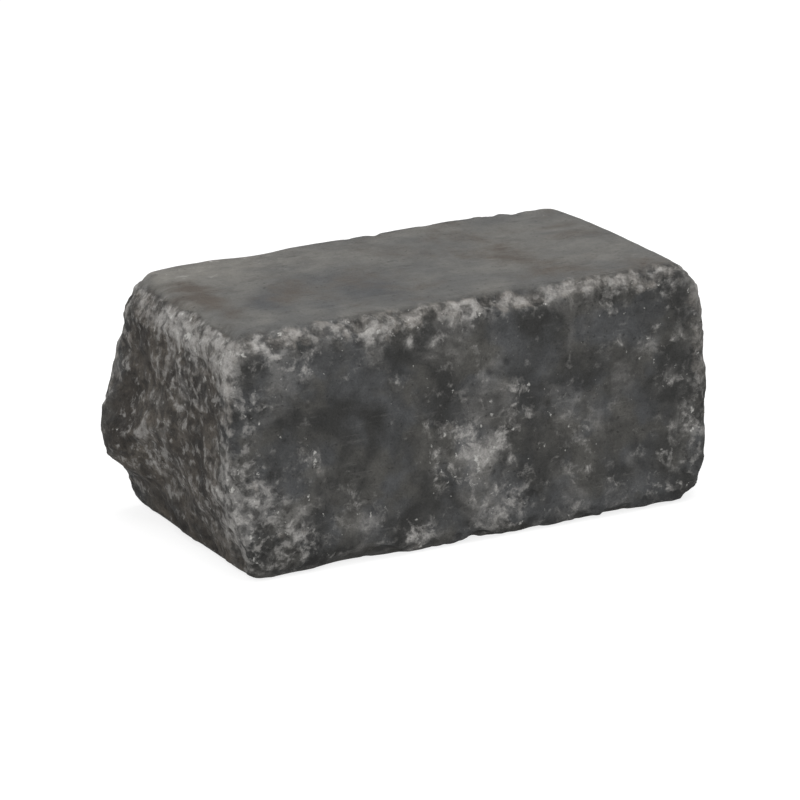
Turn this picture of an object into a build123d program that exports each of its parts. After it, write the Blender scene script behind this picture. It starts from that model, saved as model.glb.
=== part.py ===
"""Tumbled concrete wall block: one solid casting, split at both ends, its arrises worn off in a drum.

The block lies on its bed as it does in a wall. X runs along the wall, the long face that shows
in the wall looks towards -Y, and Z is up. The origin is at the middle of the underside.
All sizes are in millimetres.
"""

import os
from itertools import pairwise

from build123d import *

# The block overall, with the bellies of its split ends. Its front face alone is about 300 long,
# the size that such blocks are sold by.
block_length = 335.0
block_depth = 180.0
block_height = 150.0

# How far the worn outlines stand outside the pressed faces and outside the split ends,
# so that only their rounded corners cut.
face_margin = 1.2
end_margin = 6.0

# Wear of the four long arrises: corner radius of the cross-section, from the left end to the right.
front_bottom_wear = (12.0, 6.0, 7.0, 5.0, 7.0, 6.0, 14.0)
back_bottom_wear = (20.0, 14.0, 11.0, 13.0, 10.0, 14.0, 18.0)
back_top_wear = (29.0, 18.0, 12.0, 15.0, 11.0, 14.0, 19.0)
front_top_wear = (20.0, 14.0, 15.0, 11.0, 13.0, 12.0, 18.0)

# Wear of the short arrises along the two ends: corner radius of the elevation, from front to back.
left_bottom_wear = (8.0, 10.0, 12.0, 13.0, 15.0)
right_bottom_wear = (27.0, 21.0, 17.0, 19.0, 24.0)
right_top_wear = (28.0, 22.0, 19.0, 21.0, 25.0)
left_top_wear = (22.0, 21.0, 20.0, 24.0, 32.0)

# Wear of the four upright arrises: corner radius of the plan, from the underside to the top.
front_left_wear = (18.0, 24.0, 26.0, 28.0, 32.0)
front_right_wear = (22.0, 20.0, 18.0, 19.0, 25.0)
back_right_wear = (24.0, 21.0, 19.0, 18.0, 23.0)
back_left_wear = (26.0, 22.0, 23.0, 26.0, 36.0)

# How far the split left end lies inside the full length at each height, from front to back.
# It swells into a blunt nose towards the back, with a foot under it and a shoulder over it.
left_bottom_inset = (29.0, 28.0, 26.5, 26.0, 24.0)
left_foot_inset = (24.0, 23.5, 21.0, 21.5, 20.0)
left_nose_low_inset = (18.0, 17.0, 12.5, 3.0, 0.0)
left_nose_high_inset = (17.0, 17.0, 11.0, 1.5, 0.5)
left_shoulder_inset = (18.0, 19.5, 16.0, 14.0, 15.0)
left_top_inset = (21.0, 20.0, 20.0, 21.5, 25.0)

# The right end is nearly straight, with low ridges where it broke.
right_bottom_inset = (3.0, 6.0, 5.0, 7.0, 5.0)
right_low_inset = (2.5, 1.5, 5.0, 2.5, 7.0)
right_high_inset = (1.5, 0.0, 2.0, 5.0, 7.0)
right_top_inset = (3.0, 7.0, 8.0, 6.5, 10.0)

# The heights at which the split ends turn, and how softly the nose turns there.
foot_height = 24.0
nose_low = 44.0
nose_high = 67.0
shoulder_height = 89.0
nose_radius = 24.0

# Hollows that the splitting left in the two ends: radius of the scoops, and for each one its place
# across the block, its height, and how far inside the full length its bottom lies.
hollow_radius = 80.0
left_hollows = (
    (44.0, 106.0, 19.2),
    (-34.0, 62.0, 19.0),
    (4.0, 28.0, 23.0),
)
right_hollows = (
    (-30.0, 104.0, 6.5),
    (40.0, 62.0, 7.5),
)

# Spalls knocked out of the arrises: radius of each scoop, and how deep it goes below the
# edge as it was before wear.
spall_radius = 70.0
spall_depth = 8.5

# Where the spalls are: along the block from its middle, or across it for the two at the ends.
front_bottom_spall = -74.0
front_top_spall = 44.0
back_top_spall = -58.0
back_bottom_spall = 95.0
left_top_spall = -22.0
right_bottom_spall = 28.0


def stations(first, last, count):
    """Evenly spaced places from first to last, where a worn outline is drawn."""
    shares = [i / (count - 1) for i in range(count)]
    return [first * (1 - share) + last * share for share in shares]


def inset_at(outline, z, corner):
    """How far a corner of a split end lies inside the full length at height z."""
    for (low, below), (high, above) in pairwise(outline):
        if z <= high:
            return below[corner] + (above[corner] - below[corner]) * (z - low) / (high - low)


half_length = block_length / 2
half_depth = block_depth / 2
outer_half_length = half_length + end_margin
outer_half_depth = half_depth + face_margin
outer_bottom = -face_margin
outer_top = block_height + face_margin
along = stations(-outer_half_length, outer_half_length, len(front_top_wear))
across = stations(-outer_half_depth, outer_half_depth, len(left_top_wear))
upwards = stations(outer_bottom, outer_top, len(front_left_wear))
front, middle, back = 0, len(across) // 2, -1

# Each split end from the underside to the top: the heights where it turns, its insets there,
# and the radii of the turns between its two arrises.
left_outline = (
    (outer_bottom, left_bottom_inset),
    (foot_height, left_foot_inset),
    (nose_low, left_nose_low_inset),
    (nose_high, left_nose_high_inset),
    (shoulder_height, left_shoulder_inset),
    (outer_top, left_top_inset),
)
left_turns = (0, nose_radius, nose_radius, nose_radius)
right_outline = (
    (outer_bottom, right_bottom_inset),
    (nose_low, right_low_inset),
    (shoulder_height, right_high_inset),
    (outer_top, right_top_inset),
)
right_turns = (0, 0)

with BuildPart() as wall_block:
    # The pressed faces: two flat beds, a flat front and a flat back.
    Box(
        block_length,
        block_depth,
        block_height,
        align=(Align.CENTER, Align.CENTER, Align.MIN),
    )

    # Cross-sections along the block wear its four long arrises.
    long_arrises = zip(front_bottom_wear, back_bottom_wear, back_top_wear, front_top_wear)
    for x, radii in zip(along, long_arrises):
        with BuildSketch(Plane.YZ.offset(x)):
            with BuildLine():
                FilletPolyline(
                    (-outer_half_depth, outer_bottom),
                    (outer_half_depth, outer_bottom),
                    (outer_half_depth, outer_top),
                    (-outer_half_depth, outer_top),
                    radius=radii,
                    close=True,
                )
            make_face()
    loft(mode=Mode.INTERSECT)

    # Elevations from front to back shape the split ends and wear their short arrises.
    short_arrises = zip(right_bottom_wear, right_top_wear, left_top_wear, left_bottom_wear)
    for station, (y, radii) in enumerate(zip(across, short_arrises)):
        right_bottom, right_top, left_top, left_bottom = radii
        left_end = [(-half_length + insets[station], z) for z, insets in left_outline]
        right_end = [(half_length - insets[station], z) for z, insets in right_outline]
        left_radii = (left_bottom, *left_turns, left_top)
        right_radii = (right_bottom, *right_turns, right_top)
        with BuildSketch(Plane.XZ.offset(-y)):
            with BuildLine():
                FilletPolyline(
                    *right_end,
                    *reversed(left_end),
                    radius=(*right_radii, *reversed(left_radii)),
                    close=True,
                )
            make_face()
    loft(mode=Mode.INTERSECT)

    # Plans from the underside to the top stand just outside the split ends and wear the four
    # upright arrises.
    upright_arrises = zip(front_left_wear, front_right_wear, back_right_wear, back_left_wear)
    for z, radii in zip(upwards, upright_arrises):
        with BuildSketch(Plane.XY.offset(z)):
            with BuildLine():
                FilletPolyline(
                    (-outer_half_length + inset_at(left_outline, z, front), -outer_half_depth),
                    (outer_half_length - inset_at(right_outline, z, front), -outer_half_depth),
                    (outer_half_length - inset_at(right_outline, z, back), outer_half_depth),
                    (-outer_half_length + inset_at(left_outline, z, back), outer_half_depth),
                    radius=radii,
                    close=True,
                )
            make_face()
    loft(mode=Mode.INTERSECT)

    # Hollows: shallow scoops in the two split ends, each with its centre outside the block.
    for side, hollows in ((-1, left_hollows), (1, right_hollows)):
        for y, z, inset in hollows:
            with Locations((side * (half_length - inset + hollow_radius), y, z)):
                Sphere(hollow_radius, mode=Mode.SUBTRACT)

    # Spalls: shallow scoops where a piece of an arris broke away, each placed by a point of
    # the unworn edge and the way out of the block there.
    spalls = (
        ((front_bottom_spall, -half_depth, 0), (0, -1, -1)),
        ((front_top_spall, -half_depth, block_height), (0, -1, 1)),
        ((back_top_spall, half_depth, block_height), (0, 1, 1)),
        ((back_bottom_spall, half_depth, 0), (0, 1, -1)),
        ((-half_length + left_top_inset[middle], left_top_spall, block_height), (-1, 0, 1)),
        ((half_length - right_bottom_inset[middle], right_bottom_spall, 0), (1, 0, -1)),
    )
    for edge_point, outwards in spalls:
        with Locations(Vector(*edge_point) + Vector(*outwards).normalized() * (spall_radius - spall_depth)):
            Sphere(spall_radius, mode=Mode.SUBTRACT)

wall_block.part.label = "wall_block"
os.makedirs("parts", exist_ok=True)
export_step(wall_block.part, "parts/wall_block.step")
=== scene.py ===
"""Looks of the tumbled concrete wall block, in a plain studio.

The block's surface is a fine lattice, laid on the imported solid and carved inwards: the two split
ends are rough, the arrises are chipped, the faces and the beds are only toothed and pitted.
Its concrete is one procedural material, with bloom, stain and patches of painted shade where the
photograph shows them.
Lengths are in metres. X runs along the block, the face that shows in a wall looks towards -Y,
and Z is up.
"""

import math

import bpy
import numpy as np
from bpy.props import FloatProperty, FloatVectorProperty, IntProperty, PointerProperty
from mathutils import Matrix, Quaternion, Vector


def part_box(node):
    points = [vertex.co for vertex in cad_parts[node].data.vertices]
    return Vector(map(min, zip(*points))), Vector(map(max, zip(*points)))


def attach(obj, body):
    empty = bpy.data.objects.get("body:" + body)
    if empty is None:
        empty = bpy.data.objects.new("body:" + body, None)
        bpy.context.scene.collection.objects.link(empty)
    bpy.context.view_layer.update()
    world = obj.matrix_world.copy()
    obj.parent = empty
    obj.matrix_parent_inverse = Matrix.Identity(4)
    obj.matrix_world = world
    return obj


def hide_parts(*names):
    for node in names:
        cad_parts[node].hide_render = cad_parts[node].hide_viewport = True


bl_info = {
    "name": "Tumbled Wall Block",
    "version": (1, 0, 0),
    "blender": (4, 5, 0),
    "location": "3D View > Sidebar > Wall Block",
    "description": "Carves and colours a tumbled concrete wall block and sets up its studio",
    "category": "Object",
}

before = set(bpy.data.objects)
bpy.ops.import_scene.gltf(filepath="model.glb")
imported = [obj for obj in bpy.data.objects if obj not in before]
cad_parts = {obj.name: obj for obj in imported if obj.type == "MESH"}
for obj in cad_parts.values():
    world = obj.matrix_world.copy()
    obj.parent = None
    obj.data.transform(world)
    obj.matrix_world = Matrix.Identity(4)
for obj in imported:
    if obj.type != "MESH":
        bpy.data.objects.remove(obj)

NODE = "wall_block"
BODY = "root"
MM = 0.001


def from_screen(red, green, blue):
    """The linear colour, with its alpha, of a colour written as it looks on a screen, 0 to 255."""
    shown = np.array([red, green, blue]) / 255
    linear = np.where(shown <= 0.04045, shown / 12.92, ((shown + 0.055) / 1.055) ** 2.4)
    return (*map(float, linear), 1.0)


def length(name, description, default):
    """A length in metres that a user may change."""
    return FloatProperty(name=name, description=description, default=default, unit="LENGTH", precision=5)


def power(name, description, default):
    """The power of a light, in watts, that a user may change."""
    return FloatProperty(name=name, description=description, default=default, unit="POWER")


def colour(name, description, default):
    """A colour that a user may change, given as it looks on a screen."""
    return FloatVectorProperty(
        name=name,
        description=description,
        default=from_screen(*default),
        subtype="COLOR",
        size=4,
        min=0,
        max=1,
    )


class BlockShape(bpy.types.PropertyGroup):
    """Sizes of the block's worn and broken surface."""

    seed: IntProperty(name="Seed", description="Which of the possible blocks this is", default=17)
    cell: length("Cell", "Spacing of the lattice that carries the surface", 1.75 * MM)
    corner: length("Corner", "Rounding of the lattice before it is laid on the block", 20 * MM)
    break_size: length("Break size", "Width of the broad lumps of the split ends", 30 * MM)
    break_depth: length("Break depth", "Height of the broad lumps of the split ends", 1.2 * MM)
    knob_size: length("Knob size", "Width of the knobs of stone in the split ends", 13 * MM)
    knob_depth: length("Knob depth", "Height of the knobs of stone in the split ends", 1.5 * MM)
    grit_size: length("Grit size", "Size of the grit that stands out of broken concrete", 5.5 * MM)
    grit_depth: length("Grit depth", "Height of that grit", 0.8 * MM)
    swell_size: length("Swell size", "Width of the slow waves of the pressed faces", 48 * MM)
    swell_depth: length("Swell depth", "Height of the slow waves of the pressed faces", 0.5 * MM)
    tooth_size: length("Tooth size", "Size of the tooth of the pressed faces", 7 * MM)
    tooth_depth: length("Tooth depth", "Height of the tooth of the pressed faces", 0.3 * MM)
    pit_spacing: length("Pit spacing", "Spacing of the pits in the pressed faces", 12 * MM)
    pit_depth: length("Pit depth", "Depth of the pits in the pressed faces", 0.9 * MM)
    wear_width: length("Wear width", "How far the rough wear reaches in from an arris", 9 * MM)
    wear_depth: length("Wear depth", "Height of the rough wear along the arrises", 1.0 * MM)
    chips: IntProperty(name="Chips", description="Number of chips along the arrises", default=300, min=0)
    chip_radius: length("Chip radius", "Radius of the largest scoop of a chip", 24 * MM)
    chip_depth: length("Chip depth", "Depth of the deepest chip", 3.6 * MM)


class BlockColours(bpy.types.PropertyGroup):
    """Colours of the block's concrete."""

    dark: colour("Dark", "Darker tone of the concrete", (48, 48, 47))
    body: colour("Body", "Lighter tone of the concrete", (76, 75, 72))
    # Body, cool also darkens the front of the upper bed, partly as painted shadow.
    body_cool: colour("Body, cool", "Lighter, bluer tone of the concrete", (72, 73, 74))
    split_dark: colour("Split, dark", "Darker tone of the split ends", (44, 41, 38))
    split: colour("Split", "Lighter, browner tone of the split ends", (82, 77, 71))
    bed: colour("Bed", "Tone of the pressed beds", (113, 111, 106))
    bed_stain: colour("Bed stain", "Brown stain on the beds", (78, 72, 66))
    worn: colour("Worn", "Tone of the worn arrises", (118, 114, 109))
    # Bloom is also the colour of the painted highlight along the arrises.
    bloom: colour("Bloom", "Pale bloom and rubbed patches", (154, 152, 149))
    speck: colour("Speck", "Palest specks of bared stone", (178, 177, 173))
    # Pore is painted shade, with some grime, for open pores, hollows and the gaps between the grit.
    pore: colour("Pore", "Open pores and dirt in hollows", (26, 25, 24))


class StudioSettings(bpy.types.PropertyGroup):
    """Floor, lights and camera."""

    floor_half: length("Floor", "Half the side of the square floor", 30.0)
    sky: FloatProperty(name="Sky", description="Strength of the even light from all round", default=0.5)
    overhead: power("Overhead", "Light of the overhead softbox", 48.0)
    key: power("Key", "Light of the softbox in front", 52.0)
    lens: FloatProperty(name="Lens", description="Focal length in millimetres", default=215.0)
    roll: FloatProperty(
        name="Roll",
        description="Turn of the camera about its own line of sight",
        default=math.radians(-2.4),
        subtype="ANGLE",
    )


# Soft patches of bloom, and of painted shade: where their middles lie along, across and up the block,
# their radius, all in millimetres, and how strongly they show. Minus is a patch kept dark.
BLOOM_AND_SHADE = (
    # On the front face.
    (2, -90, 56, 21, 1.0),
    (10, -90, 50, 9, 0.8),
    (-57, -90, 138, 8, 1.4),
    (-34, -90, 131, 4, 1.2),
    (-18, -90, 129, 4, 1.2),
    (-123, -88, 137, 9, 1.0),
    (-117, -90, 120, 10, 0.5),
    (-43, -90, 110, 6, 0.7),
    (-99, -90, 72, 7, 1.2),
    (-92, -90, 62, 5, 0.8),
    (-140, -88, 55, 15, 0.5),
    (-118, -90, 20, 17, 0.4),
    (-66, -90, 27, 9, 0.9),
    (-33, -90, 8, 9, 1.0),
    (125, -90, 103, 8, 1.0),
    (143, -90, 105, 6, 0.9),
    (138, -90, 86, 7, 0.8),
    (154, -88, 50, 12, 0.8),
    (-94, -90, 129, 9, 0.7),
    (-76, -90, 117, 6, 0.7),
    (4, -90, 141, 8, 0.8),
    (22, -90, 127, 5, 0.9),
    (58, -90, 138, 7, 0.6),
    (-8, -90, 74, 8, 0.7),
    (20, -90, 62, 8, 0.7),
    (36, -90, 88, 13, 0.6),
    (87, -90, 58, 12, 0.6),
    (30, -90, 36, 13, 0.6),
    (70, -90, 14, 11, 0.6),
    (24, -90, 20, 12, 0.6),
    (-60, -90, 70, 26, -0.9),
    (-75, -90, 98, 22, -0.8),
    (-40, -90, 45, 14, -0.8),
    (112, -90, 62, 18, -0.7),
    (60, -90, 122, 22, -0.5),
    # On the left end. The minus patches towards the back are painted shade: they darken that half of the
    # end as if less light reached it.
    (-160, 27, 62, 11, 0.9),
    (-157, 22, 42, 9, 0.8),
    (-147, 19, 28, 8, 0.5),
    (-150, -15, 108, 14, 0.5),
    (-149, -70, 118, 12, 0.6),
    (-143, 20, 138, 12, 0.8),
    (-143, -5, 138, 13, 1.1),
    (-143, -30, 138, 13, 1.1),
    (-143, -55, 138, 13, 0.9),
    (-145, -76, 132, 12, 0.6),
    (-152, -78, 38, 16, 1.2),
    (-148, -78, 14, 12, 0.9),
    (-153, -60, 52, 10, 0.7),
    (-150, -82, 72, 11, 0.7),
    (-155, -38, 28, 9, 0.7),
    (-150, -60, 30, 20, 0.4),
    (-152, 43, 110, 18, -0.8),
    (-160, 70, 60, 16, -0.6),
    (-150, -28, 65, 12, -0.7),
    (-150, -50, 88, 10, -0.6),
    (-148, 33, 20, 16, -0.5),
    (-144, -48, 4, 15, -1.0),
    (-143, -18, 6, 16, -1.1),
    (-143, 14, 6, 16, -1.1),
    (-145, 48, 10, 18, -1.0),
    (-163, 62, 84, 16, -0.9),
    # On the upper bed: lighter at the back left and darker at the front right, which is partly painted
    # shadow of a neighbouring block.
    (-118, 66, 150, 26, 1.0),
    (-76, 68, 150, 24, 0.9),
    (-96, 40, 150, 18, 0.4),
    (-46, 62, 150, 16, 0.5),
    (-44, -12, 150, 24, -0.8),
    (-96, -26, 150, 20, -0.7),
    (-60, -48, 150, 24, -0.7),
    (-22, -40, 150, 24, -0.8),
)

# Patches of brown stain on the upper bed, given in the same way. Minus is a patch kept clean.
STAINS = (
    (-121, 42, 150, 9, 0.7),
    (-122, 26, 150, 9, 1.0),
    (-123, 10, 150, 9, 1.0),
    (-123, -6, 150, 9, 1.1),
    (-124, -22, 150, 10, 1.1),
    (-124, -38, 150, 9, 0.9),
    (-125, -54, 150, 9, 0.7),
    (-84, -30, 150, 14, 0.6),
    (-100, 55, 150, 24, -1.0),
    (-90, 10, 150, 12, -0.5),
    (-104, -74, 150, 13, -0.9),
    (-72, -72, 150, 13, -0.8),
    (-40, -74, 150, 11, -0.6),
)

# Places, given in the same way, where the skin of the front face was knocked off and grit shows.
BARED = (
    (-148, -84, 52, 22, 1.2),
    (-128, -90, 24, 24, 1.2),
    (-98, -90, 10, 13, 0.7),
    (-146, -84, 98, 16, 0.8),
    (-142, -84, 128, 14, 0.8),
    (-104, -88, 145, 15, 0.8),
    (-57, -88, 142, 10, 1.0),
    (10, -88, 147, 14, 0.6),
    (22, -90, 12, 19, 0.8),
    (-66, -90, 27, 8, 0.6),
    (40, -90, 26, 12, 0.5),
    (128, -90, 102, 9, 0.7),
    (158, -86, 58, 13, 0.7),
    (150, -88, 28, 13, 0.7),
    (100, -88, 145, 16, 0.6),
)


def smooth_step(low, high, value):
    """0 below low, 1 above high and 3t^2 - 2t^3 between, where t runs from 0 to 1."""
    t = np.clip((value - low) / (high - low), 0, 1)
    return t * t * (3 - 2 * t)


# How many random numbers the table of a noise holds, before they are used again.
TABLE_SIZE = 256


def table_number(turn, cell):
    """A number of the table for each whole-numbered cell: turn[turn[turn[x] + y] + z].

    Here turn is the shuffled table, and what passes its end is read from its start.
    """
    x, y, z = (cell % TABLE_SIZE).T
    return turn[(turn[(turn[x] + y) % TABLE_SIZE] + z) % TABLE_SIZE]


def gradient_noise(points, rng):
    """Noise of about -1 to 1 with cells of size 1.

    Each corner of the unit cell round a point has a random slope. Its share is that slope dotted
    with the way from the corner, and the eight shares are blended by 6t^5 - 15t^4 + 10t^3. The
    sum reaches about 0.6, so it is stretched by 1.6.
    """
    turn = rng.permutation(TABLE_SIZE)
    slopes = rng.normal(size=(TABLE_SIZE, 3))
    slopes /= np.linalg.norm(slopes, axis=1, keepdims=True)
    cell = np.floor(points).astype(int)
    part = points - cell
    fade = part**3 * (part * (part * 6 - 15) + 10)
    total = np.zeros(len(points))
    for corner in np.ndindex(2, 2, 2):
        slope = slopes[table_number(turn, cell + corner)]
        share = np.prod(np.where(corner, fade, 1 - fade), axis=1)
        total += share * np.einsum("ij,ij->i", slope, part - corner)
    return total * 1.6


def layered_noise(points, size, layers, rng, share=0.55):
    """Gradient noise of the given size, plus layers of half the size and share of the height each."""
    total = np.zeros(len(points))
    for layer in range(layers):
        total += share**layer * gradient_noise(points * 2**layer / size, rng)
    return total


def pits(points, spacing, share, rng):
    """0 to 1, deepest in the middle of round pits.

    Each cell of the given spacing holds one random point. A share of these points are pits, each
    a bowl 1 - (r / R)^2 with its own radius R of 0.12 to 0.42 cells, and a place takes the deepest
    bowl that it is in. The other points get a radius of almost nothing.
    """
    turn = rng.permutation(TABLE_SIZE)
    middles = rng.random((TABLE_SIZE, 3))
    radii = rng.uniform(0.12, 0.42, TABLE_SIZE) * (rng.random(TABLE_SIZE) < share)
    cell = np.floor(points / spacing).astype(int)
    part = points / spacing - cell
    deepest = np.zeros(len(points))
    for near in np.ndindex(3, 3, 3):
        offset = np.array(near) - 1
        pick = table_number(turn, cell + offset)
        away = np.linalg.norm(part - offset - middles[pick], axis=1)
        radius = np.maximum(radii[pick], 1e-6)
        deepest = np.maximum(deepest, 1 - (away / radius) ** 2)
    return deepest


def lattice(counts):
    """A closed lattice over the six sides of a box that is counts cells long, deep and high.

    Each side is a grid of whole-number places, i along one axis and j along the next. Places that
    two sides share are welded. Returns the places and the quads, which face outwards.
    """
    keys, squares, start = [], [], 0
    step = np.array([(counts[1] + 1) * (counts[2] + 1), counts[2] + 1, 1])
    for axis in range(3):
        u, v = (axis + 1) % 3, (axis + 2) % 3
        i, j = np.meshgrid(np.arange(counts[u] + 1), np.arange(counts[v] + 1), indexing="ij")
        number = np.arange(i.size).reshape(i.shape)
        corners = (number[:-1, :-1], number[1:, :-1], number[1:, 1:], number[:-1, 1:])
        square = np.stack(corners, axis=-1).reshape(-1, 4)
        for level, side_square in ((counts[axis], square), (0, square[:, ::-1])):
            keys.append((i * step[u] + j * step[v] + level * step[axis]).ravel())
            squares.append(side_square + start)
            start += i.size
    unique, welded = np.unique(np.concatenate(keys), return_inverse=True)
    places = np.stack([unique // step[0], unique % step[0] // step[1], unique % step[1]], axis=1)
    return places, welded[np.concatenate(squares)]


def rounded_box(places, counts, low, high, radius):
    """The lattice on a box with rounded arrises.

    A place's core is the nearest point of the box shrunk by the radius, and the place lies
    one radius from its core, straight out.
    """
    points = low + places / counts * (high - low)
    core = np.clip(points, low + radius, high - radius)
    out = points - core
    return core + radius * out / np.linalg.norm(out, axis=1, keepdims=True)


def links(quads):
    """The two ends of every edge of the lattice, each edge once."""
    ends = np.concatenate([quads[:, [k, (k + 1) % 4]] for k in range(4)])
    ends.sort(axis=1)
    return np.unique(ends, axis=0).T


def averaged(values, edges, rounds):
    """Values after the given rounds, in each of which a point goes halfway to its neighbours' mean."""
    first, second = edges
    count = len(values)
    neighbours = np.bincount(first, minlength=count) + np.bincount(second, minlength=count)
    columns = []
    for column in values.reshape(count, -1).T:
        for _ in range(rounds):
            total = np.bincount(first, column[second], count) + np.bincount(second, column[first], count)
            column = (column + total / neighbours) / 2
        columns.append(column)
    return np.stack(columns, axis=1).reshape(values.shape)


def point_normals(points, quads):
    """Unit normals: the cross products of the diagonals of the quads round a point, added up."""
    a, b, c, d = (points[quads[:, k]] for k in range(4))
    cross = np.cross(c - a, d - b)
    total = np.zeros_like(points)
    for axis in range(3):
        for k in range(4):
            total[:, axis] += np.bincount(quads[:, k], cross[:, axis], len(points))
    return total / np.linalg.norm(total, axis=1, keepdims=True)


def make_mesh(name, points, quads):
    """A mesh of the points and quads, shaded smooth."""
    mesh = bpy.data.meshes.new(name)
    mesh.vertices.add(len(points))
    mesh.vertices.foreach_set("co", points.astype(np.float32).ravel())
    mesh.loops.add(quads.size)
    mesh.loops.foreach_set("vertex_index", quads.astype(np.int32).ravel())
    mesh.polygons.add(len(quads))
    mesh.polygons.foreach_set("loop_start", np.arange(0, quads.size, 4, dtype=np.int32))
    mesh.polygons.foreach_set("use_smooth", np.ones(len(quads), dtype=bool))
    mesh.update(calc_edges=True)
    mesh.validate()
    return mesh


def add_object(name, data):
    """A new object at the origin, linked to the scene."""
    piece = bpy.data.objects.new(name, data)
    bpy.context.scene.collection.objects.link(piece)
    return piece


def laid_on(points, quads, solid):
    """The points moved to the nearest points of the solid's surface."""
    mesh = make_mesh("laying", points, quads)
    piece = add_object("laying", mesh)
    wrap = piece.modifiers.new("lay", "SHRINKWRAP")
    wrap.target = solid
    wrap.wrap_method = "NEAREST_SURFACEPOINT"
    laid = piece.evaluated_get(bpy.context.evaluated_depsgraph_get())
    result = np.empty(len(points) * 3, np.float32)
    laid.data.vertices.foreach_get("co", result)
    bpy.data.objects.remove(piece)
    bpy.data.meshes.remove(mesh)
    return result.reshape(-1, 3).astype(float)


# Rounds of averaging before each laying of the lattice on the solid, and after the last one.
LAYING_ROUNDS = (30, 30, 30, 20)
SETTLING_ROUNDS = 14


class Surface:
    """The lattice on the solid, with how far each of its points lies from the block's sides."""

    def __init__(self, shape, solid, low, high):
        counts = np.round((high - low) / shape.cell).astype(int)
        places, self.quads = lattice(counts)
        self.edges = links(self.quads)
        points = rounded_box(places, counts, low, high, shape.corner)
        for rounds in LAYING_ROUNDS:
            points = laid_on(averaged(points, self.edges, rounds), self.quads, solid)
        self.points = averaged(points, self.edges, SETTLING_ROUNDS)
        inwards = np.minimum(places, counts - places) * shape.cell
        self.from_end, self.from_face, self.from_bed = inwards.T
        self.from_arris = np.sort(inwards, axis=1)[:, 1]

    def normals(self):
        """Unit normals of the surface as it is now."""
        return point_normals(self.points, self.quads)

    def carve(self, depth):
        """Moves the points inwards along their normals by the depth."""
        self.points = self.points - self.normals() * depth[:, None]


# Chips gather within about CHIP_SPREAD of an arris, and noise of SHAKE_SIZE shakes their outlines
# by about SHAKE. The smallest have these shares of the largest one's radius and depth. Large chips
# are rare: where a chip comes between the smallest and the largest is a random number to the power
# RARITY. None cuts deeper than CUT_LIMIT times its own depth.
CHIP_SPREAD = 5 * MM
SHAKE = 1.3 * MM
SHAKE_SIZE = 9 * MM
SMALLEST_RADIUS = 0.25
SMALLEST_DEPTH = 0.16
RARITY = 2.2
CUT_LIMIT = 1.6


def chip_depths(surface, shape, rng):
    """How deep the chips along the arrises go.

    A chip is what a sphere takes away that reaches a little below a random point near an arris.
    From a point inside it, the way out straight inwards is t = d + sqrt(d^2 - r^2 + R^2), where
    r is the way from the sphere's middle and d that way measured along the normal. The points
    are shaken a little first, so that the scoops aren't round.
    """
    normals = surface.normals()
    shaking = [layered_noise(surface.points, SHAKE_SIZE, 2, rng) for _ in range(3)]
    shaken = surface.points + SHAKE * np.stack(shaking, axis=1)
    chance = np.exp(-((surface.from_arris / CHIP_SPREAD) ** 2))
    spots = rng.choice(len(chance), shape.chips, replace=False, p=chance / chance.sum())
    large = rng.random(shape.chips) ** RARITY
    radii = shape.chip_radius * (SMALLEST_RADIUS + (1 - SMALLEST_RADIUS) * large)
    share = rng.uniform(0.4, 1, shape.chips)
    depths = shape.chip_depth * (SMALLEST_DEPTH + (1 - SMALLEST_DEPTH) * large * share)
    deepest = np.zeros(len(chance))
    for spot, radius, depth in zip(spots, radii, depths):
        away = shaken - surface.points[spot] - normals[spot] * (radius - depth)
        inside = radius**2 - np.einsum("ij,ij->i", away, away)
        near = np.flatnonzero(inside > 0)
        along = np.einsum("ij,ij->i", away[near], normals[near])
        cut = along + np.sqrt(along**2 + inside[near])
        deepest[near] = np.maximum(deepest[near], np.minimum(cut, CUT_LIMIT * depth))
    return deepest


# The pattern of the split ends is drawn out across the block: its scale along, across and up.
DRAWN_ACROSS = (1, 0.6, 1)


def worn_down(height, top):
    """How deep relief of the given height lies below its top, where what stood higher is worn off."""
    return np.maximum(top - height, 0)


def end_relief(surface, shape, rng):
    """Depth of the relief of the split ends: lumps, knobs and grit."""
    points = surface.points * DRAWN_ACROSS
    height = (
        shape.break_depth * layered_noise(points, shape.break_size, 1, rng)
        + shape.knob_depth * layered_noise(points, shape.knob_size, 2, rng)
        + shape.grit_depth * layered_noise(points, shape.grit_size, 2, rng)
    )
    return worn_down(height, 0.6 * shape.knob_depth)


def bared_relief(surface, shape, rng):
    """Depth of the relief where the skin of a pressed face has been knocked off: bare grit."""
    height = layered_noise(surface.points, 1.1 * shape.grit_size, 3, rng)
    return shape.grit_depth * worn_down(height, 0.5)


def face_relief(surface, shape, rng):
    """Depth of the relief of the pressed front and back: slow swell, tooth and pits."""
    points = surface.points
    height = (
        shape.swell_depth * layered_noise(points, shape.swell_size, 2, rng)
        + shape.tooth_depth * layered_noise(points, shape.tooth_size, 2, rng)
    )
    bowls = pits(points, shape.pit_spacing, 0.5, rng)
    return worn_down(height, 0.6 * shape.swell_depth) + shape.pit_depth * bowls


def bed_relief(surface, shape, rng):
    """Depth of the relief of the beds: much smoother than the faces, with a few small pits."""
    points = surface.points
    height = 0.3 * shape.swell_depth * layered_noise(points, shape.swell_size, 2, rng)
    bowls = pits(points, 0.7 * shape.pit_spacing, 0.25, rng)
    return worn_down(height, 0.2 * shape.swell_depth) + 0.5 * shape.pit_depth * bowls


def arris_relief(surface, shape, rng):
    """Depth of the rough wear along the arrises: knocks of several sizes."""
    height = layered_noise(surface.points, 2.2 * shape.tooth_size, 3, rng)
    return shape.wear_depth * worn_down(height, 0.35)


def patch_strength(points, patches):
    """Strength of soft patches: each one falls off as exp(-(r / R)^2) from its middle."""
    total = np.zeros(len(points))
    for *middle, radius, strength in patches:
        away = np.linalg.norm(points / MM - middle, axis=1)
        total += strength * np.exp(-((away / radius) ** 2))
    return total


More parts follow.
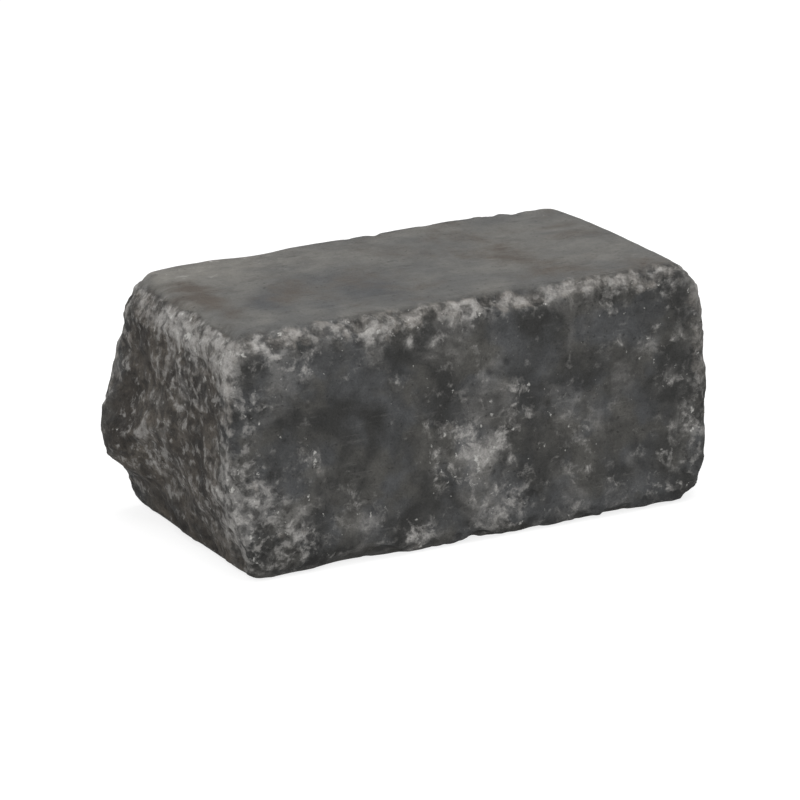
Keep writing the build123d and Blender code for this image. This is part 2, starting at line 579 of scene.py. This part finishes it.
# How far the roughness of the split ends reaches round onto the front and back.
END_REACH = 20 * MM

# Rounds of averaging that give the depth round a point, to tell hollows from what stands out.
HOLLOW_ROUNDS = 14


def find_zones(surface, shape, rng):
    """How far each point belongs to each kind of surface, 0 to 1, by the name of the kind.

    A split end is what looks along the block, and its roughness reaches END_REACH round onto the
    faces, but not near the beds. A bed is what looks nearly straight up or down, and its flat
    keeps clear of the arrises too. Bared places have a ragged outline.
    """
    looks_along, _, looks_up = np.abs(surface.normals()).T
    reach = END_REACH * smooth_step(0, 15 * MM, surface.from_bed)
    round_end = 1 - smooth_step(0, reach + 1 * MM, surface.from_end)
    end = np.maximum(round_end, smooth_step(0.3, 0.85, looks_along))
    bed = (1 - end) * smooth_step(0.72, 0.95, looks_up)
    face = (1 - end) * (1 - bed)
    ragged = 0.35 * layered_noise(surface.points, 16 * MM, 3, rng)
    return {
        "end": end,
        "bed": bed,
        "face": face,
        "arris": 1 - smooth_step(0.3 * shape.wear_width, shape.wear_width, surface.from_arris),
        "bared": face * smooth_step(0.2, 0.8, patch_strength(surface.points, BARED) + ragged),
        "flat": smooth_step(0.6, 0.9, looks_up) * smooth_step(2 * MM, 12 * MM, surface.from_arris),
    }


def carve_block(surface, shape, zones, rng):
    """Carves the chips and then the relief of each zone. Returns how deep both go together."""
    chips = chip_depths(surface, shape, rng)
    surface.carve(chips)
    surface.points = averaged(surface.points, surface.edges, 1)
    inner = 0.35 + 0.65 * smooth_step(3 * MM, 18 * MM, surface.from_arris)
    relief = (
        zones["end"] * inner * end_relief(surface, shape, rng)
        + zones["face"] * face_relief(surface, shape, rng)
        + zones["bared"] * bared_relief(surface, shape, rng)
        + zones["bed"] * bed_relief(surface, shape, rng)
        + zones["arris"] * arris_relief(surface, shape, rng)
    )
    surface.carve(relief)
    return chips + relief


def material_masks(surface, shape, zones, depth, top):
    """What the material reads at each point, by name.

    Wear of an arris falls off as exp(-(d / w)^2) with the way d from it, is wider round the split
    ends, and is weaker towards the underside. A hollow is how much deeper a point lies than those
    round it, in millimetres.
    """
    end = zones["end"]
    low_wear = 0.25 + 0.75 * smooth_step(0.3, 0.75, surface.points[:, 2] / top)
    worn_width = shape.wear_width * (1.3 + 1.5 * end)
    arris = low_wear * np.exp(-((surface.from_arris / worn_width) ** 2))
    from_upright = smooth_step(0, 40 * MM, surface.from_face)
    around = averaged(depth, surface.edges, HOLLOW_ROUNDS)
    return {
        "arris": arris,
        "split": end * (0.3 + 0.7 * from_upright),
        "bed": zones["flat"] * (1 - smooth_step(0.35, 0.8, end)),
        "rough": np.maximum(np.maximum(end, zones["bared"]), 0.8 * arris),
        "hollow": np.clip((depth - around) / MM, -1, 1),
        # The bloom mask also holds the patches of painted shade.
        "bloom": patch_strength(surface.points, BLOOM_AND_SHADE),
        "stain": patch_strength(surface.points, STAINS),
    }


def make_block_mesh(shape):
    """The block's carved surface, with the masks that its material reads."""
    rng = np.random.default_rng(shape.seed)
    low, high = (np.array(corner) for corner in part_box(NODE))
    surface = Surface(shape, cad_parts[NODE], low, high)
    zones = find_zones(surface, shape, rng)
    depth = carve_block(surface, shape, zones, rng)
    surface.points = np.clip(surface.points, low, high)
    mesh = make_mesh("cast_block", surface.points, surface.quads)
    for name, values in material_masks(surface, shape, zones, depth, high[2]).items():
        mask = mesh.attributes.new(name, "FLOAT", "POINT")
        mask.data.foreach_set("value", values.astype(np.float32))
    return mesh


def put(tree, kind, inputs=None, **settings):
    """A new node in the tree. Its inputs are given by name or number, as values or as sockets."""
    node = tree.nodes.new(kind)
    for name, value in settings.items():
        setattr(node, name, value)
    for key, value in (inputs or {}).items():
        if isinstance(value, bpy.types.NodeSocket):
            tree.links.new(value, node.inputs[key])
        else:
            node.inputs[key].default_value = value
    return node


def maths(tree, operation, *values):
    """The result of a Math node."""
    return put(tree, "ShaderNodeMath", dict(enumerate(values)), operation=operation).outputs[0]


def ramp(tree, value, low, high, to_low=0.0, to_high=1.0):
    """The value carried smoothly from low..high to to_low..to_high."""
    inputs = {"Value": value, "From Min": low, "From Max": high, "To Min": to_low, "To Max": to_high}
    return put(tree, "ShaderNodeMapRange", inputs, interpolation_type="SMOOTHSTEP").outputs["Result"]


def noise(tree, vector, size, detail=2.0, roughness=0.5, distortion=0.0):
    """A noise texture whose cells are about size metres wide, with finer layers and bends."""
    inputs = {
        "Vector": vector,
        "Scale": 1 / size,
        "Detail": detail,
        "Roughness": roughness,
        "Distortion": distortion,
    }
    return put(tree, "ShaderNodeTexNoise", inputs).outputs["Fac"]


def placed(tree, vector, location=(0, 0, 0), rotation=(0, 0, 0), scale=(1, 1, 1)):
    """The vector moved, turned and scaled, so that a pattern differs from others of its size."""
    inputs = {"Vector": vector, "Location": location, "Rotation": rotation, "Scale": scale}
    return put(tree, "ShaderNodeMapping", inputs).outputs["Vector"]


def blend(tree, factor, first, second, mode="MIX"):
    """Two colours mixed by the factor, which is kept to 0..1. The node takes colours at 6 and 7."""
    inputs = {0: factor, 6: first, 7: second}
    node = put(tree, "ShaderNodeMix", inputs, data_type="RGBA", blend_type=mode, clamp_factor=True)
    return node.outputs[2]


def attribute(tree, name):
    """A number stored on the mesh."""
    return put(tree, "ShaderNodeAttribute", attribute_name=name).outputs["Fac"]


def new_group(name, *numbers):
    """An empty node group with a Vector input and the named number inputs, and its inputs inside."""
    group = bpy.data.node_groups.new(name, "ShaderNodeTree")
    group.interface.new_socket("Vector", in_out="INPUT", socket_type="NodeSocketVector")
    for number in numbers:
        group.interface.new_socket(number, in_out="INPUT", socket_type="NodeSocketFloat")
    return group, group.nodes.new("NodeGroupInput").outputs


def close_group(group, results):
    """The group, with a number output for each named result."""
    for name in results:
        group.interface.new_socket(name, in_out="OUTPUT", socket_type="NodeSocketFloat")
    put(group, "NodeGroupOutput", results)
    return group


def mottle_group():
    """Group for mottled concrete: slow and fine tone, soft haze, blotches with veins, grit and specks.

    The bias moves the noises before their ramps, so it makes the pale marks more or fewer.
    """
    group, given = new_group("mottle", "Bias")
    vector, bias = given["Vector"], given["Bias"]
    tone = noise(group, placed(group, vector, (3.1, 0.7, 1.9)), 34 * MM, 4, 0.55, 0.4)
    fine = noise(group, placed(group, vector, (5.0, 2.0, 8.0)), 9 * MM, 7, 0.68)
    cloud = maths(group, "ADD", noise(group, vector, 30 * MM, 4, 0.55, 0.5), bias)
    smear = noise(group, placed(group, vector, (0.4, 2.2, 5.0)), 9 * MM, 7, 0.66, 0.3)
    smear = maths(group, "MULTIPLY_ADD", smear, 1.5, maths(group, "MULTIPLY_ADD", bias, 1.2, -0.25))
    bend = noise(group, placed(group, vector, (6.0, 1.1, 0.3)), 22 * MM, 3, 0.55, 0.5)
    line = ramp(group, maths(group, "ABSOLUTE", maths(group, "SUBTRACT", bend, 0.5)), 0.06, 0.005)
    vein = maths(group, "MULTIPLY", line, ramp(group, smear, 0.5, 0.7))
    blotch = maths(group, "MAXIMUM", ramp(group, smear, 0.6, 0.9), maths(group, "MULTIPLY", vein, 0.25))
    grit = noise(group, placed(group, vector, (8.0, 3.0, 4.0)), 7.5 * MM, 4, 0.6, 0.2)
    dust = noise(group, placed(group, vector, (2.0, 6.0, 1.0)), 5 * MM, 3, 0.6)
    results = {
        "Tone": tone,
        "Fine": fine,
        "Haze": ramp(group, cloud, 0.5, 0.78),
        "Blotch": blotch,
        "Grit": ramp(group, maths(group, "MULTIPLY_ADD", bias, 0.5, grit), 0.52, 0.66),
        # Gap is the low ground between the grit, which the material darkens as painted shade.
        "Gap": ramp(group, grit, 0.48, 0.36),
        "Speck": ramp(group, maths(group, "MULTIPLY_ADD", bias, 0.4, dust), 0.67, 0.74),
    }
    return close_group(group, results)


def scuff_group():
    """Group for faint rubbed lines: noise drawn out along the block, broken up in patches."""
    group, given = new_group("scuffs")
    lines = []
    for turn, start in (((0.02, 0.05, 0.04), 0.0), ((0.1, -0.22, 0.12), 4.0)):
        drawn_out = placed(group, given["Vector"], (start, 0, 0), turn, (0.09, 1, 1))
        lines.append(ramp(group, noise(group, drawn_out, 2.8 * MM, 4, 0.6), 0.58, 0.74))
    patches = ramp(group, noise(group, given["Vector"], 28 * MM, 5, 0.65), 0.46, 0.62)
    scuff = maths(group, "MULTIPLY", maths(group, "MAXIMUM", *lines), patches)
    return close_group(group, {"Scuff": scuff})


def grain_group():
    """Group for the grain of cast concrete: its height, the sand in it, and open pores."""
    group, given = new_group("grain", "Coarse")
    vector = given["Vector"]
    sand = noise(group, vector, 1.1 * MM, 4, 0.65)
    gravel = noise(group, placed(group, vector, (7, 1, 3)), 4.5 * MM, 3, 0.6)
    holes = noise(group, placed(group, vector, (1, 8, 2)), 2.8 * MM, 3, 0.6)
    pore = ramp(group, holes, 0.38, 0.29)
    gravelly = maths(group, "MULTIPLY_ADD", given["Coarse"], 1.6, 0.5)
    height = maths(group, "MULTIPLY_ADD", gravel, gravelly, sand)
    height = maths(group, "MULTIPLY_ADD", pore, -0.5, height)
    return close_group(group, {"Height": height, "Sand": sand, "Pore": pore})


def use_group(tree, group, inputs):
    """The outputs of the group where it is used in the tree."""
    return put(tree, "ShaderNodeGroup", inputs, node_tree=group).outputs


def cast_colour(tree, vector, tone, colours):
    """Colour of the faces as cast: dark, and a lighter body that is warm or cool by turns."""
    turns = noise(tree, placed(tree, vector, (8, 2, 6)), 26 * MM, 3, 0.5)
    body = blend(tree, ramp(tree, turns, 0.42, 0.58), colours.body, colours.body_cool)
    return blend(tree, tone, colours.dark, body)


def broken_colour(tree, vector, colours):
    """Colour of the split ends: lighter brown lumps in darker ground."""
    lumps = noise(tree, vector, 22 * MM, 7, 0.62, 0.2)
    return blend(tree, ramp(tree, lumps, 0.38, 0.62), colours.split_dark, colours.split)


def pressed_colour(tree, vector, tone, bloom, stain, colours):
    """Colour of the beds as pressed: grey, cooler and darker in places, partly as painted shadow, with
    brown stain and drawn marks.
    """
    # The minus bloom patches darken and cool the front of the bed: partly painted shadow.
    cool = maths(tree, "MULTIPLY_ADD", bloom, -0.45, maths(tree, "MULTIPLY_ADD", tone, 0.35, 0.36))
    pressed = blend(tree, cool, colours.bed, colours.body_cool)
    cloud = noise(tree, placed(tree, vector, (2, 3, 0)), 45 * MM, 7, 0.66, 0.4)
    stained = ramp(tree, maths(tree, "MULTIPLY_ADD", stain, 0.2, cloud), 0.45, 0.75)
    pressed = blend(tree, stained, pressed, colours.bed_stain)
    drawn_out = placed(tree, vector, (5, 5, 5), (0, 0, 0.06), (0.25, 1, 0.6))
    marks = ramp(tree, noise(tree, drawn_out, 6 * MM, 5, 0.66), 0.44, 0.26, 0, 0.42)
    return blend(tree, marks, pressed, colours.dark)


def make_concrete(colours):
    """The block's one material: dark concrete, browner where split, with worn and bloomed places,
    painted shade in hollows and patches, and a painted highlight on the arrises.
    """
    material = bpy.data.materials.new("concrete")
    material.use_nodes = True
    tree = material.node_tree
    shader = tree.nodes["Principled BSDF"]
    vector = put(tree, "ShaderNodeTexCoord").outputs["Object"]
    # The bloom attribute also carries the patches of painted shade.
    names = ("arris", "split", "bed", "rough", "hollow", "bloom", "stain")
    arris, split, bed, rough, hollow, bloom, stain = (attribute(tree, name) for name in names)

    # Pale mottling gathers in the bloom and along the arrises, and keeps out of hollows and beds.
    bias = 0.0
    for mask, share in ((bloom, 0.16), (hollow, -0.05), (arris, 0.05), (bed, -0.16)):
        bias = maths(tree, "MULTIPLY_ADD", mask, share, bias)
    mottle = use_group(tree, mottle_group(), {"Vector": vector, "Bias": bias})
    grain = use_group(tree, grain_group(), {"Vector": vector, "Coarse": rough})
    scuff = use_group(tree, scuff_group(), {"Vector": vector})["Scuff"]
    drawn_across = placed(tree, vector, (1, 4, 2), scale=DRAWN_ACROSS)
    rubbed = noise(tree, placed(tree, drawn_across, (9, 9, 1)), 10 * MM, 5, 0.64, 0.2)

    # The concrete as cast, as split and as pressed under the lid of the mould.
    tone = ramp(tree, mottle["Tone"], 0.34, 0.66)
    cast = cast_colour(tree, vector, tone, colours)
    broken = broken_colour(tree, drawn_across, colours)
    pressed = pressed_colour(tree, vector, tone, bloom, stain, colours)
    split = ramp(tree, maths(tree, "MULTIPLY_ADD", rubbed, 2.0, split), 1.3, 2.0)
    base = blend(tree, bed, blend(tree, split, cast, broken), pressed)

    # Where it is worn: along the arrises, and in patches on all that stands out of rough places.
    raised = maths(tree, "MULTIPLY", rough, ramp(tree, hollow, 0.05, -0.45))
    patches = noise(tree, placed(tree, vector, (3, 7, 4)), 32 * MM, 3, 0.5)
    raised = maths(tree, "MULTIPLY", raised, ramp(tree, patches, 0.4, 0.62, 0.15, 0.9))
    wear = maths(tree, "MULTIPLY_ADD", bloom, 0.3, maths(tree, "MAXIMUM", arris, raised))
    worn = ramp(tree, maths(tree, "MULTIPLY_ADD", rubbed, 3.0, wear), 2.0, 2.85)
    # A pale thin line on the arrises, broken up in patches: painted highlight, partly wear.
    rim_wear_and_highlight = maths(tree, "MULTIPLY", ramp(tree, arris, 0.78, 1.0), ramp(tree, rubbed, 0.42, 0.6))
    gritty = maths(tree, "MULTIPLY", mottle["Grit"], rough)

    # The pale layers, each over those before: its mask, how much it hides at most, and its colour.
    for mask, share, tint in (
        (worn, 0.9, colours.worn),
        (rim_wear_and_highlight, 0.45, colours.bloom),
        (mottle["Haze"], 0.28, colours.bloom),
        (mottle["Blotch"], 0.9, colours.bloom),
        (scuff, 0.14, colours.bloom),
        (gritty, 0.6, colours.bloom),
        (mottle["Speck"], 0.8, colours.speck),
    ):
        base = blend(tree, maths(tree, "MULTIPLY", mask, share), base, tint)

    # Fine tone and sand all over, and painted shade, with some grime, in the hollows, the pores and
    # between the grit.
    grey = maths(tree, "ADD", grain["Sand"], maths(tree, "MULTIPLY_ADD", mottle["Fine"], 1.3, -0.15))
    base = blend(tree, maths(tree, "MULTIPLY_ADD", bed, -0.4, 1.0), base, grey, "MULTIPLY")
    low = ramp(tree, hollow, 0.1, 0.8, 0, 0.7)
    shade_and_dirt = maths(tree, "MAXIMUM", maths(tree, "MULTIPLY", grain["Pore"], 0.7), low)
    shade_and_dirt = maths(tree, "MAXIMUM", shade_and_dirt, maths(tree, "MULTIPLY", mottle["Gap"], rough))
    base = blend(tree, maths(tree, "MULTIPLY", shade_and_dirt, 0.6), base, colours.pore)
    tree.links.new(base, shader.inputs["Base Color"])

    roughness = maths(tree, "MULTIPLY_ADD", bed, -0.1, 0.93)
    tree.links.new(roughness, shader.inputs["Roughness"])
    shader.inputs["IOR"].default_value = 1.45
    shader.inputs["Specular IOR Level"].default_value = 0.35
    bump = {"Height": grain["Height"], "Distance": 0.7 * MM, "Strength": 1.0}
    tree.links.new(put(tree, "ShaderNodeBump", bump).outputs["Normal"], shader.inputs["Normal"])
    return material


def seen_rays(tree):
    """1 for rays that show the background, seen straight, in a reflection or through glass."""
    rays = put(tree, "ShaderNodeLightPath").outputs
    straight = maths(tree, "MAXIMUM", rays["Is Camera Ray"], rays["Is Glossy Ray"])
    return maths(tree, "MAXIMUM", straight, rays["Is Transmission Ray"])


# How much light the floor throws back onto the block, and, as it is seen, how much of its own
# tone and of an even glow together look white.
FLOOR_TONE = 0.55
SEEN_TONE = 0.34
SEEN_GLOW = 0.78


def make_floor(settings):
    """A wide flat floor that looks white and keeps a soft shadow of the block."""
    half = settings.floor_half
    corners = np.array([(-half, -half, 0), (half, -half, 0), (half, half, 0), (-half, half, 0)])
    floor = add_object("floor", make_mesh("floor", corners, np.array([[0, 1, 2, 3]])))
    material = bpy.data.materials.new("white_floor")
    material.use_nodes = True
    tree = material.node_tree
    tree.nodes.clear()
    plain, shaded = (
        put(tree, "ShaderNodeBsdfDiffuse", {"Color": (tone, tone, tone, 1)}).outputs[0]
        for tone in (FLOOR_TONE, SEEN_TONE)
    )
    glow = put(tree, "ShaderNodeEmission", {"Color": (1, 1, 1, 1), "Strength": SEEN_GLOW}).outputs[0]
    seen = put(tree, "ShaderNodeAddShader", {0: shaded, 1: glow}).outputs[0]
    mixed = put(tree, "ShaderNodeMixShader", {0: seen_rays(tree), 1: plain, 2: seen}).outputs[0]
    put(tree, "ShaderNodeOutputMaterial", {"Surface": mixed})
    floor.data.materials.append(material)


def make_sky(strength):
    """A world that looks white and lights the block evenly from all round."""
    world = bpy.data.worlds.new("studio")
    world.use_nodes = True
    tree = world.node_tree
    level = put(tree, "ShaderNodeMix", {0: seen_rays(tree), 2: strength, 3: 1.0}, data_type="FLOAT")
    background = tree.nodes["Background"]
    background.inputs["Color"].default_value = (1, 1, 1, 1)
    tree.links.new(level.outputs[0], background.inputs["Strength"])
    bpy.context.scene.world = world


def aimed(place, target):
    """The turn with which a lamp or a camera looks from its place at the target."""
    return (Vector(target) - Vector(place)).to_track_quat("-Z", "Y")


def make_softbox(name, place, target, side, watts):
    """A square softbox that looks from its place to the target."""
    light = bpy.data.lights.new(name, "AREA")
    light.shape = "SQUARE"
    light.size = side
    light.energy = watts
    lamp = add_object(name, light)
    lamp.location = place
    lamp.rotation_mode = "QUATERNION"
    lamp.rotation_quaternion = aimed(place, target)


# Where the photograph was taken from and what the camera looks at.
CAMERA_PLACE = (-1.1569, -2.5233, 0.9068)
CAMERA_TARGET = (0, 0, 0.067)

# The softboxes: where each hangs, what it looks at and how long its sides are.
OVERHEAD = ((0.2, -0.5, 2.6), (0, 0, 0.1), 2.4)
KEY = ((-1.6, -2.6, 1.5), (0, 0, 0.08), 2.2)


def make_camera(settings):
    """The photograph's viewpoint, drawn in on the one block."""
    camera = add_object("camera", bpy.data.cameras.new("camera"))
    camera.data.lens = settings.lens
    camera.location = CAMERA_PLACE
    camera.rotation_mode = "QUATERNION"
    roll = Quaternion((0, 0, 1), settings.roll)
    camera.rotation_quaternion = aimed(CAMERA_PLACE, CAMERA_TARGET) @ roll
    bpy.context.scene.camera = camera


class WALLBLOCK_OT_block(bpy.types.Operator):
    """Make the block: its carved surface and its concrete"""

    bl_idname = "wallblock.block"
    bl_label = "Wall Block"

    def execute(self, context):
        scene = context.scene
        block = add_object("cast_block", make_block_mesh(scene.wallblock_shape))
        block.data.materials.append(make_concrete(scene.wallblock_colours))
        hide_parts(NODE)
        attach(block, BODY)
        return {"FINISHED"}


class WALLBLOCK_OT_studio(bpy.types.Operator):
    """Make the studio: white floor, even sky, two softboxes and the camera"""

    bl_idname = "wallblock.studio"
    bl_label = "Studio"

    def execute(self, context):
        settings = context.scene.wallblock_studio
        make_floor(settings)
        make_sky(settings.sky)
        make_softbox("overhead", *OVERHEAD, settings.overhead)
        make_softbox("key", *KEY, settings.key)
        make_camera(settings)
        context.scene.view_settings.view_transform = "Standard"
        return {"FINISHED"}


class WALLBLOCK_PT_panel(bpy.types.Panel):
    """Sizes and colours of the block, and the two operators that make it and its studio."""

    bl_label = "Wall Block"
    bl_idname = "WALLBLOCK_PT_panel"
    bl_space_type = "VIEW_3D"
    bl_region_type = "UI"
    bl_category = "Wall Block"

    def draw(self, context):
        for title, group, operator in (
            ("Surface", context.scene.wallblock_shape, None),
            ("Concrete", context.scene.wallblock_colours, WALLBLOCK_OT_block),
            ("Studio", context.scene.wallblock_studio, WALLBLOCK_OT_studio),
        ):
            box = self.layout.box()
            box.label(text=title)
            for name in group.__annotations__:
                box.prop(group, name)
            if operator:
                box.operator(operator.bl_idname)


CLASSES = (
    BlockShape,
    BlockColours,
    StudioSettings,
    WALLBLOCK_OT_block,
    WALLBLOCK_OT_studio,
    WALLBLOCK_PT_panel,
)


def register():
    """Adds the classes, and the block's and the studio's settings."""
    for cls in CLASSES:
        bpy.utils.register_class(cls)
    bpy.types.Scene.wallblock_shape = PointerProperty(type=BlockShape)
    bpy.types.Scene.wallblock_colours = PointerProperty(type=BlockColours)
    bpy.types.Scene.wallblock_studio = PointerProperty(type=StudioSettings)


def unregister():
    """Takes away what register adds, the other way round."""
    del bpy.types.Scene.wallblock_studio
    del bpy.types.Scene.wallblock_colours
    del bpy.types.Scene.wallblock_shape
    for cls in reversed(CLASSES):
        bpy.utils.unregister_class(cls)


def main():
    """Makes the block and its studio."""
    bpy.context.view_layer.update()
    register()
    bpy.ops.wallblock.block()
    bpy.ops.wallblock.studio()


if __name__ == "__main__":
    main()
